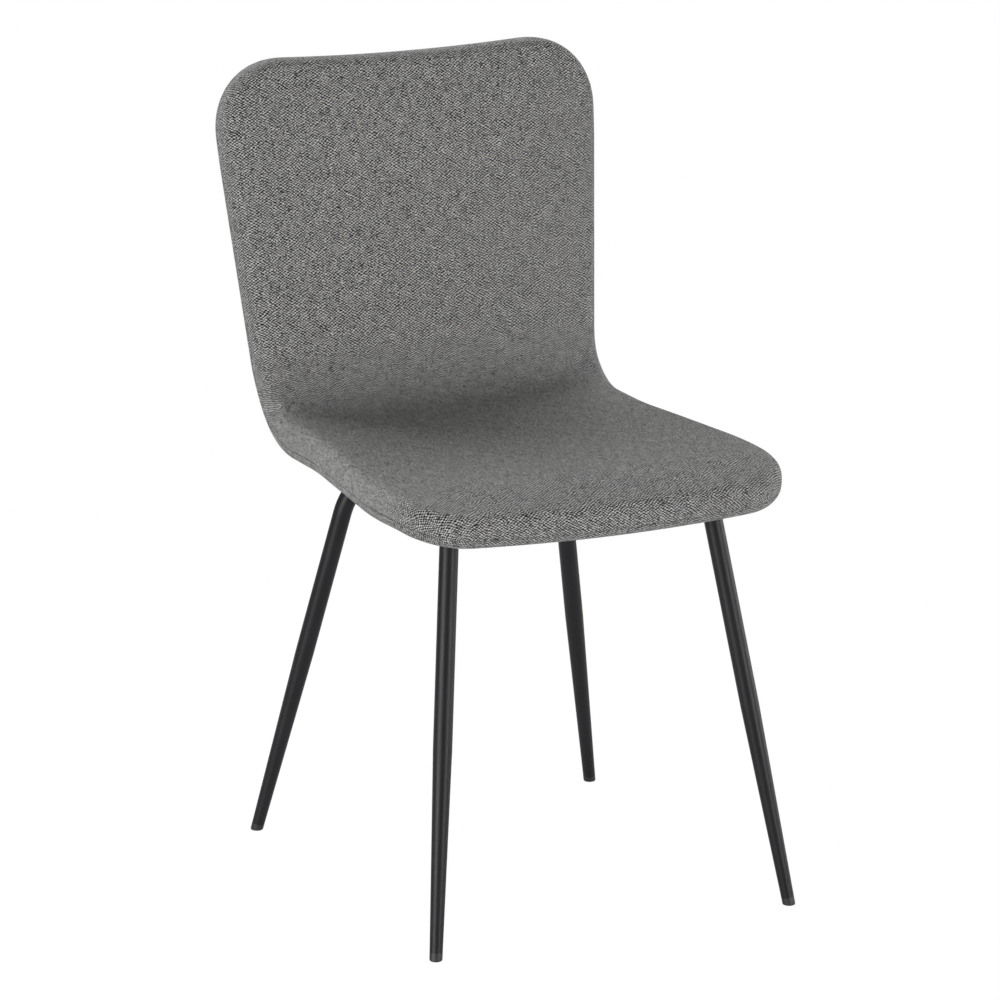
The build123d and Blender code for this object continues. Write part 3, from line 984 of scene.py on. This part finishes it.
@dataclass
class Upholstery:
    """Front and rear covers, foam, wadding and dust cover of the shell."""

    form: ShellForm = field(default_factory=ShellForm)
    palette: Palette | None = None
    widest: float = -5 * MM  # where the edge stands out furthest
    front_depth: float = 14 * MM
    front_power: float = 2.4
    rear_depth: float = 10 * MM
    rear_power: float = 2.3
    tuck: float = 0.9 * MM  # how far the seam's fold goes in
    cloth: float = 1.2 * MM
    columns: int = 60
    rows: int = 112
    front_swell: Swell = Swell(cap=4.5 * MM)
    rear_swell: Swell = Swell(cap=1.6 * MM)
    unevenness: float = 0.35 * MM

    def finish(self, piece: bpy.types.Object, slot: Slot, *nodes: str) -> None:
        """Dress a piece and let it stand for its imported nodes."""
        self.palette.dress(piece, slot)
        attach(piece, BODY)
        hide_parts(*nodes)
        log.info("%s: %d faces", piece.name, len(piece.data.polygons))

    def face_rings(self, rings: list[Ring], inner: float) -> list[Ring]:
        """Carry a rim's rings on over the flat of its face to the grid's edge."""
        last = rings[-1]
        steps = max(1, round((last.out + inner) / (6.5 * MM)))
        outs = np.linspace(last.out, -inner, steps + 1)[1:]
        return rings + [Ring(float(out), last.h, last.run + float(out) - last.out) for out in outs]

    def cover(self, name: str, front: bool) -> bpy.types.Object:
        """One cloth panel, from the seam's fold over the edge and across its face."""
        form = self.form
        inner = 0.8 * form.seat_corner_r
        side = 1 if front else -1
        seam_gap = 0.15 * MM
        held_rings = 2
        if front:
            edge = rim(form, self.widest, form.half, self.front_depth, self.front_power, 9)
            start = edge[0].run
            drop = self.widest - form.seam
            lead = [Ring(-self.tuck, form.seam + seam_gap, start + drop + self.tuck),
                    Ring(-0.35 * self.tuck, form.seam + 2 * seam_gap, start + drop + 0.4 * self.tuck),
                    Ring(-0.05 * MM, form.seam + 0.9 * MM, start + drop - 0.8 * MM)]
        else:
            edge = rim(form, self.widest, -form.half, self.rear_depth, self.rear_power, 8)
            edge = [r for r in edge if r.h < form.seam - 1.6 * MM]
            start = edge[0].run + abs(form.seam - edge[0].h)
            lead = [Ring(-self.tuck, form.seam - seam_gap, start + self.tuck),
                    Ring(-0.35 * self.tuck, form.seam - 2 * seam_gap, start + 0.4 * self.tuck),
                    Ring(edge[0].out * 0.5, form.seam - 0.9 * MM, start - 0.8 * MM)]
        panel = Panel(form, form.outline(), inner, self.columns, self.rows)
        rings = self.face_rings(lead + edge, inner)
        piece = panel.build(name, rings, flip=not front)
        count = 2 * (self.columns + self.rows)
        total = len(piece.data.vertices)
        held = np.arange(total) < held_rings * count
        weave = np.empty((total, 2))
        loops = np.empty(len(piece.data.loops), int)
        piece.data.loops.foreach_get("vertex_index", loops)
        uv = np.empty(len(piece.data.loops) * 2, np.float32)
        piece.data.uv_layers["weave"].data.foreach_get("uv", uv)
        weave[loops] = uv.reshape(-1, 2)
        outer = np.abs(weave[:, 0])
        low, high = panel.edge[:, 1].min(), panel.edge[:, 1].max()
        gap = np.minimum.reduce([form.seat_w - outer, weave[:, 1] - low, high - weave[:, 1]])
        share = np.clip((gap + 16 * MM) / (105 * MM), 0.06, 1.0)
        share = share * share * (3 - 2 * share)
        s_index = weave[:, 1]
        _, _, slope = form.middle(s_index)
        facing = np.stack([np.zeros(total), -np.sin(slope), np.cos(slope)], axis=1) * side
        (self.front_swell if front else self.rear_swell).run(piece, held, share, facing)
        places = coordinates(piece)
        lift = ripple(weave[:, 0], s_index, self.unevenness) * np.clip(share * 1.5, 0, 1)
        if front:
            lift -= form.hollow(weave[:, 0], s_index)
        move_points(piece, places + facing * (lift * ~held)[:, None])
        apply(piece, "SUBSURF", levels=1, render_levels=1)
        apply(piece, "SOLIDIFY", thickness=self.cloth, offset=-1.0)
        smooth(piece, 60)
        self.finish(piece, Slot.CLOTH, name)
        flat, area = flat_size(panel.ring(rings[0])[:, 3:5])
        return piece

    def foam(self) -> None:
        """The foam over the plywood, cut in two at the bend, with its recess for the plywood."""
        form = self.form
        inner = 0.8 * form.seat_corner_r
        skin = self.cloth + 0.6 * MM
        panel = Panel(form, form.outline(), inner, self.columns, self.rows)
        edge = rim(form, self.widest, form.half - skin, self.front_depth, self.front_power, 7)
        rings = self.face_rings([Ring(r.out - skin, r.h, r.run) for r in edge], inner)
        rings = [Ring(-skin - 1.2 * MM, form.seam - 1 * MM, 0.0)] + rings
        recess = form.ply_inset - 0.3 * MM
        bottom = [Ring(-skin - 0.4 * MM, -10 * MM, 0.0), Ring(-skin - 4 * MM, -15 * MM, 0.0),
                  Ring(-recess, -15 * MM, 0.0), Ring(-recess, form.ply_front + 0.1 * MM, 0.0),
                  Ring(-inner, form.ply_front + 0.1 * MM, 0.0)]

        def sink(rows: np.ndarray) -> np.ndarray:
            """Thin the foam at the crease."""
            upper = np.clip((rows[:, 2] - form.ply_front) / (form.half - form.ply_front), 0, 1)
            rows[:, 2] -= form.hollow(rows[:, 0], rows[:, 1]) * upper
            return rows

        whole = panel.build("foam_block", rings, bottom=bottom, shape=sink)
        tidy_normals(whole)
        cut_at = Vector((0, form.bend_start_y(), form.seat_z + form.bend_r))
        halves = (("seat_foam_pad", "seat_foam", True), ("back_foam_pad", "back_foam", False))
        for name, node, clear_outer in halves:
            piece = whole.copy()
            piece.data = whole.data.copy()
            piece.name = piece.data.name = name
            bpy.context.scene.collection.objects.link(piece)
            alone(piece)
            bpy.ops.object.mode_set(mode="EDIT")
            bpy.ops.mesh.select_all(action="SELECT")
            bpy.ops.mesh.bisect(plane_co=cut_at, plane_no=(0, 1, 1), use_fill=True,
                                clear_outer=clear_outer, clear_inner=not clear_outer)
            bpy.ops.object.mode_set(mode="OBJECT")
            tidy_normals(piece)
            smooth(piece, 35)
            self.finish(piece, Slot.FOAM, node)
        bpy.data.objects.remove(whole)

    def wadding(self) -> None:
        """The thin wadding behind the plywood, softer at its edges and lightly quilted."""
        form = self.form
        inset = form.ply_inset + 0.5 * MM
        inner = 0.8 * form.seat_corner_r
        panel = Panel(form, form.outline(), inner, 36, 64)
        front, rear = form.ply_rear - 0.1 * MM, 1.35 * MM - form.half
        middle = (front + rear) / 2
        rings = [Ring(-inset, middle, 0.0), Ring(-inset - 1 * MM, rear + 0.5 * MM, 0.0),
                 Ring(-inset - 4 * MM, rear, 0.0), Ring(-inner, rear, 0.0)]
        bottom = [Ring(-inset - 1 * MM, front - 0.5 * MM, 0.0), Ring(-inset - 4 * MM, front, 0.0),
                  Ring(-inner, front, 0.0)]

        def quilt(rows: np.ndarray) -> np.ndarray:
            """Thin the rear face a little in rounded hollows."""
            rear_side = rows[:, 2] < middle - 0.5 * MM
            hollows = np.sin(rows[:, 0] / (22 * MM)) ** 2 * np.sin(rows[:, 1] / (22 * MM)) ** 2
            rows[:, 2] += np.where(rear_side, 0.5 * MM * hollows, 0)
            return rows

        piece = panel.build("rear_wadding_pad", rings, bottom=bottom, flip=True, shape=quilt)
        tidy_normals(piece)
        smooth(piece, 50)
        self.finish(piece, Slot.WADDING, "rear_wadding")

    def dust_cover(self) -> None:
        """The black cloth stapled under the seat, slack between its staples."""
        form = self.form
        inset = 24 * MM
        h = -form.half - 0.05 * MM
        front = form.where(y=form.nose_y + form.front_bow) + inset
        rear_s = form.where(y=form.bend_start_y())
        rear_w = form.waist_w - inset
        right = [(form.seat_front_w - inset, front, form.seat_corner_r - inset),
                 (form.seat_w - inset, form.where(y=form.widest_y), form.side_r),
                 (rear_w, form.where(y=form.waist_y), form.side_r),
                 (rear_w, rear_s, 3 * MM)]
        outline = rounded(right + [(-x, s, r) for x, s, r in reversed(right)])
        share = (outline[:, 0] / form.seat_front_w) ** 2
        fade = np.clip(1 - (outline[:, 1] - front) / form.seat_corner_r, 0, 1) ** 2
        outline[:, 1] -= (front - inset - form.where(y=form.nose_y)) * (1 - share) * fade
        panel = Panel(form, outline, 2.4 * MM, 64, 60)
        straps = 62 * MM

        def slack(rows: np.ndarray) -> np.ndarray:
            """Let the cloth hang a little, with creases that run in from its staples."""
            x, s = rows[:, 0], rows[:, 1]
            to_side = np.clip((rear_w - np.abs(x)) / (45 * MM), 0, 1)
            to_end = np.clip(np.minimum(s - front + 12 * MM, rear_s - s) / (45 * MM), 0, 1)
            to_strap = np.clip((np.abs(np.abs(x) - straps) - 20 * MM) / (25 * MM), 0, 1)
            loose = to_side * to_end * to_strap
            creases = (0.5 + 0.5 * np.sin(x / (7 * MM) + 3 * np.sin(s / (55 * MM)))) ** 2
            pulls = (0.5 + 0.5 * np.cos(2 * math.pi * s / (38 * MM))) * (1 - to_side) * to_side * 4
            rows[:, 2] -= loose * (0.5 * MM + 0.9 * MM * creases) + pulls * 0.5 * MM * to_strap
            return rows

        rings = [Ring(0, h, 0), Ring(-2.4 * MM, h, -2.4 * MM)]
        piece = panel.build("dust_cover_cloth", rings, flip=True, shape=slack)
        apply(piece, "SUBSURF", levels=1, render_levels=1)
        apply(piece, "SOLIDIFY", thickness=0.5 * MM, offset=1.0)
        smooth(piece, 60)
        self.finish(piece, Slot.DUST_CLOTH, "dust_cover")
        flat, area = flat_size(outline)

    def build(self) -> None:
        """Make every layer, from the inside out."""
        self.foam()
        self.wadding()
        self.cover("rear_cover", front=False).name = "rear_cover_cloth"
        self.cover("front_cover", front=True).name = "front_cover_cloth"
        self.dust_cover()


# ---------------------------------------------------------------- frame


@dataclass
class Frame:
    """The steel frame: packed tubes, straps, glides and fasteners, and the welds between them."""

    palette: Palette
    bead: float = 1.7 * MM
    ripples: int = 44
    leg_lean: float = 0.13  # how far the front legs lean out, as a share of their height

    FINISHED = {
        Slot.COATED: ("front_left_leg", "front_right_leg", "rear_left_leg", "rear_right_leg",
                      "front_cross_tube", "rear_cross_tube", "left_strap", "right_strap"),
        Slot.GLIDE: ("front_left_glide", "front_right_glide", "rear_left_glide", "rear_right_glide"),
        Slot.ZINC: ("tee_nuts", "spring_washers", "flat_washers"),
        Slot.BLACK: ("frame_bolts",),
        Slot.STAPLE: ("dust_cover_staples",),
        Slot.PLYWOOD: ("plywood_shell",),
    }

    def dress(self, nodes: dict) -> None:
        """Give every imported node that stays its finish."""
        for slot, names in self.FINISHED.items():
            for name in names:
                self.palette.dress(nodes[name], slot)
                log.info("%s: %s", name, slot.value)

    def ring_weld(self, name: str, centre: Vector, radius: float, cope: float) -> None:
        """A bead right round a tube that runs along X, with the ripples of a weld.

        Args:
            name: The piece's name.
            centre: Where the tube's axis ends.
            radius: The tube's radius.
            cope: Zero for a square end; 1 or -1 where the joint saddles a leg, in towards +X or -X.
        """
        deselect_all()
        bpy.ops.mesh.primitive_torus_add(location=centre, rotation=(0, math.pi / 2, 0),
                                         major_radius=radius, minor_radius=self.bead,
                                         major_segments=3 * self.ripples, minor_segments=10)
        piece = bpy.context.active_object
        piece.name = piece.data.name = name
        bpy.ops.object.transform_apply(location=True, rotation=True, scale=True)
        places = coordinates(piece)
        off = places - np.array(centre)
        turn = np.arctan2(off[:, 2], off[:, 1])
        swell = 0.16 * self.bead * np.abs(np.sin(turn * self.ripples / 2)) ** 0.5
        away = off * np.array((0.0, 1.0, 1.0))
        away /= np.linalg.norm(away, axis=1)[:, None]
        places += away * (swell - 0.62 * self.bead)[:, None]
        places[:, 0] += cope * radius * (np.abs(np.sin(turn)) + self.leg_lean * np.sin(turn))
        move_points(piece, places)
        self.finish(piece)

    def fillet_weld(self, name: str, start: Vector, end: Vector, side: float) -> None:
        """A bead along a straight joint, with rounded ends and ripples."""
        deselect_all()
        length = (end - start).length
        middle = (start + end) / 2
        bpy.ops.mesh.primitive_cylinder_add(vertices=14, radius=self.bead, depth=length, location=middle,
                                            rotation=(0, math.pi / 2, 0), end_fill_type="TRIFAN")
        piece = bpy.context.active_object
        piece.name = piece.data.name = name
        bpy.ops.object.transform_apply(location=True, rotation=True, scale=True)
        bpy.ops.object.mode_set(mode="EDIT")
        bpy.ops.mesh.select_all(action="SELECT")
        steps = max(6, round(length / (0.7 * MM)))
        for i in range(1, steps):
            bpy.ops.mesh.select_all(action="SELECT")
            x = start.x + (end.x - start.x) * i / steps
            bpy.ops.mesh.bisect(plane_co=(x, middle.y, middle.z), plane_no=(1, 0, 0))
        bpy.ops.object.mode_set(mode="OBJECT")
        places = coordinates(piece)
        off = places - np.array(middle)
        share = np.abs(off[:, 0]) / (length / 2)
        taper = np.sqrt(np.clip(1 - np.clip((share - 0.72) / 0.28, 0, 1) ** 2, 0.02, 1))
        waves = 1 + 0.14 * np.abs(np.sin(off[:, 0] / (1.0 * MM) + side)) ** 0.6
        places[:, 1:] = np.array(middle)[1:] + off[:, 1:] * (taper * waves)[:, None]
        move_points(piece, places)
        tidy_normals(piece)
        self.finish(piece)

    def finish(self, piece: bpy.types.Object) -> None:
        """Dress a weld and let it ride."""
        apply(piece, "SUBSURF", levels=1, render_levels=1)
        smooth(piece, 70)
        self.palette.dress(piece, Slot.COATED)
        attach(piece, BODY)
        log.info("%s: %d faces", piece.name, len(piece.data.polygons))

    def welds(self) -> None:
        """Beads where the legs meet the cross tubes and where the straps lie on them."""
        for row in ("front", "rear"):
            low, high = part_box(f"{row}_cross_tube")
            centre = (low + high) / 2
            radius = (high.z - low.z) / 2
            for side, x in (("left", high.x), ("right", low.x)):
                cope = -math.copysign(1, x) if row == "front" else 0.0
                self.ring_weld(f"{row}_{side}_leg_weld", Vector((x, centre.y, centre.z)), radius, cope)
            for side in ("left", "right"):
                strap_low, strap_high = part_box(f"{side}_strap")
                z = strap_low.z - 0.45 * self.bead
                reach = math.sqrt(radius ** 2 - (z - centre.z) ** 2) + 0.35 * self.bead
                for end, y in (("inner", 1), ("outer", -1)):
                    start = Vector((strap_low.x + 3 * MM, centre.y + y * reach, z))
                    finish = Vector((strap_high.x - 3 * MM, centre.y + y * reach, z))
                    self.fillet_weld(f"{row}_{side}_strap_weld_{end}", start, finish, y)

    def build(self, nodes: dict) -> None:
        """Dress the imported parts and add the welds."""
        self.dress(nodes)
        self.welds()


# ---------------------------------------------------------------- studio


def direction(azimuth: float, elevation: float) -> Vector:
    """The way from the chair to a place round it: azimuth 0 is in front and 90 on the sitter's left."""
    turn, rise = math.radians(azimuth), math.radians(elevation)
    return Vector((math.sin(turn) * math.cos(rise), -math.cos(turn) * math.cos(rise), math.sin(rise)))


@dataclass(frozen=True)
class SoftBox:
    """A large rectangular lamp that faces the chair."""

    name: str
    azimuth: float
    elevation: float
    distance: float
    width: float
    height: float
    power: float

    def build(self, target: Vector) -> None:
        """Hang the lamp so that it faces the target."""
        data = bpy.data.lights.new(self.name, "AREA")
        data.shape, data.size, data.size_y = "RECTANGLE", self.width, self.height
        data.energy = self.power
        lamp = bpy.data.objects.new(self.name, data)
        back = direction(self.azimuth, self.elevation)
        lamp.location = target + back * self.distance
        lamp.rotation_euler = back.to_track_quat("Z", "Y").to_euler()
        bpy.context.scene.collection.objects.link(lamp)


@dataclass
class Studio:
    """Floor, world, lamps and camera."""

    azimuth: float = -25.4
    elevation: float = 14.9
    distance: float = 5.826
    lens: float = 197.7
    aim: tuple = (-0.0203, -0.0314, 0.412)
    world_light: float = 0.03
    lamps: tuple = (
        SoftBox("low_right", -68.0, 3.0, 3.2, 1.8, 1.2, 90.0),
        SoftBox("low_left", 78.0, 3.0, 3.0, 1.8, 1.2, 42.0),
        SoftBox("strip_left", 24.0, 3.0, 3.2, 0.8, 1.2, 54.0),
        SoftBox("rear_right", -160.0, 38.0, 3.0, 1.5, 1.5, 72.0),
        SoftBox("rear_left", 142.0, 36.0, 3.0, 1.5, 1.5, 60.0),
        SoftBox("front_high", -12.0, 52.0, 3.0, 1.5, 1.5, 16.0),
    )

    def floor(self) -> None:
        """A wide sheet of white paper, faintly uneven."""
        deselect_all()
        bpy.ops.mesh.primitive_grid_add(x_subdivisions=40, y_subdivisions=40, size=60.0)
        piece = bpy.context.active_object
        piece.name = "studio_floor"
        piece.data.materials.append(StudioFloor().build("studio_paper"))
        piece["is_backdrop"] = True

    def world(self) -> None:
        """White for the camera, and a softer white as light."""
        world = bpy.data.worlds.new("studio_world")
        bpy.context.scene.world = world
        world.use_nodes = True
        tree = world.node_tree
        output = next(n for n in tree.nodes if n.type == "OUTPUT_WORLD")
        light = next(n for n in tree.nodes if n.type == "BACKGROUND")
        light.inputs["Color"].default_value = grey(1.0)
        light.inputs["Strength"].default_value = self.world_light
        seen = tree.nodes.new("ShaderNodeBackground")
        seen.inputs["Color"].default_value = grey(1.0)
        seen.inputs["Strength"].default_value = 1.0
        mix = tree.nodes.new("ShaderNodeMixShader")
        path = tree.nodes.new("ShaderNodeLightPath")
        tree.links.new(path.outputs["Is Camera Ray"], mix.inputs[0])
        tree.links.new(light.outputs[0], mix.inputs[1])
        tree.links.new(seen.outputs[0], mix.inputs[2])
        tree.links.new(mix.outputs[0], output.inputs["Surface"])

    def lights(self) -> None:
        """Hang every lamp round the middle of the chair."""
        for lamp in self.lamps:
            lamp.build(Vector((0.0, 0.0, 0.45)))

    def camera(self) -> None:
        """A long lens at three-quarter view."""
        data = bpy.data.cameras.new("camera")
        data.lens, data.sensor_width = self.lens, 36.0
        data.clip_start, data.clip_end = 0.1, 100.0
        camera = bpy.data.objects.new("camera", data)
        back = direction(self.azimuth, self.elevation)
        camera.location = Vector(self.aim) + back * self.distance
        camera.rotation_euler = (-back).to_track_quat("-Z", "Y").to_euler()
        bpy.context.scene.collection.objects.link(camera)
        bpy.context.scene.camera = camera

    def build(self) -> None:
        """Set the whole studio up."""
        bpy.context.scene.view_settings.view_transform = "Standard"
        self.camera()
        self.world()
        self.lights()
        self.floor()


def corners() -> list[list[float]]:
    """The shown object's lowest and highest corners."""
    return [list(corner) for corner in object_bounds()]


def main() -> None:
    """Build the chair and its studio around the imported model."""
    logging.basicConfig(level=logging.INFO, format="%(name)s: %(message)s")
    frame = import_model()
    palette = Palette()
    Studio().build()
    Frame(palette).build(frame["nodes"])
    Upholstery(palette=palette).build()


if __name__ == "__main__":
    main()
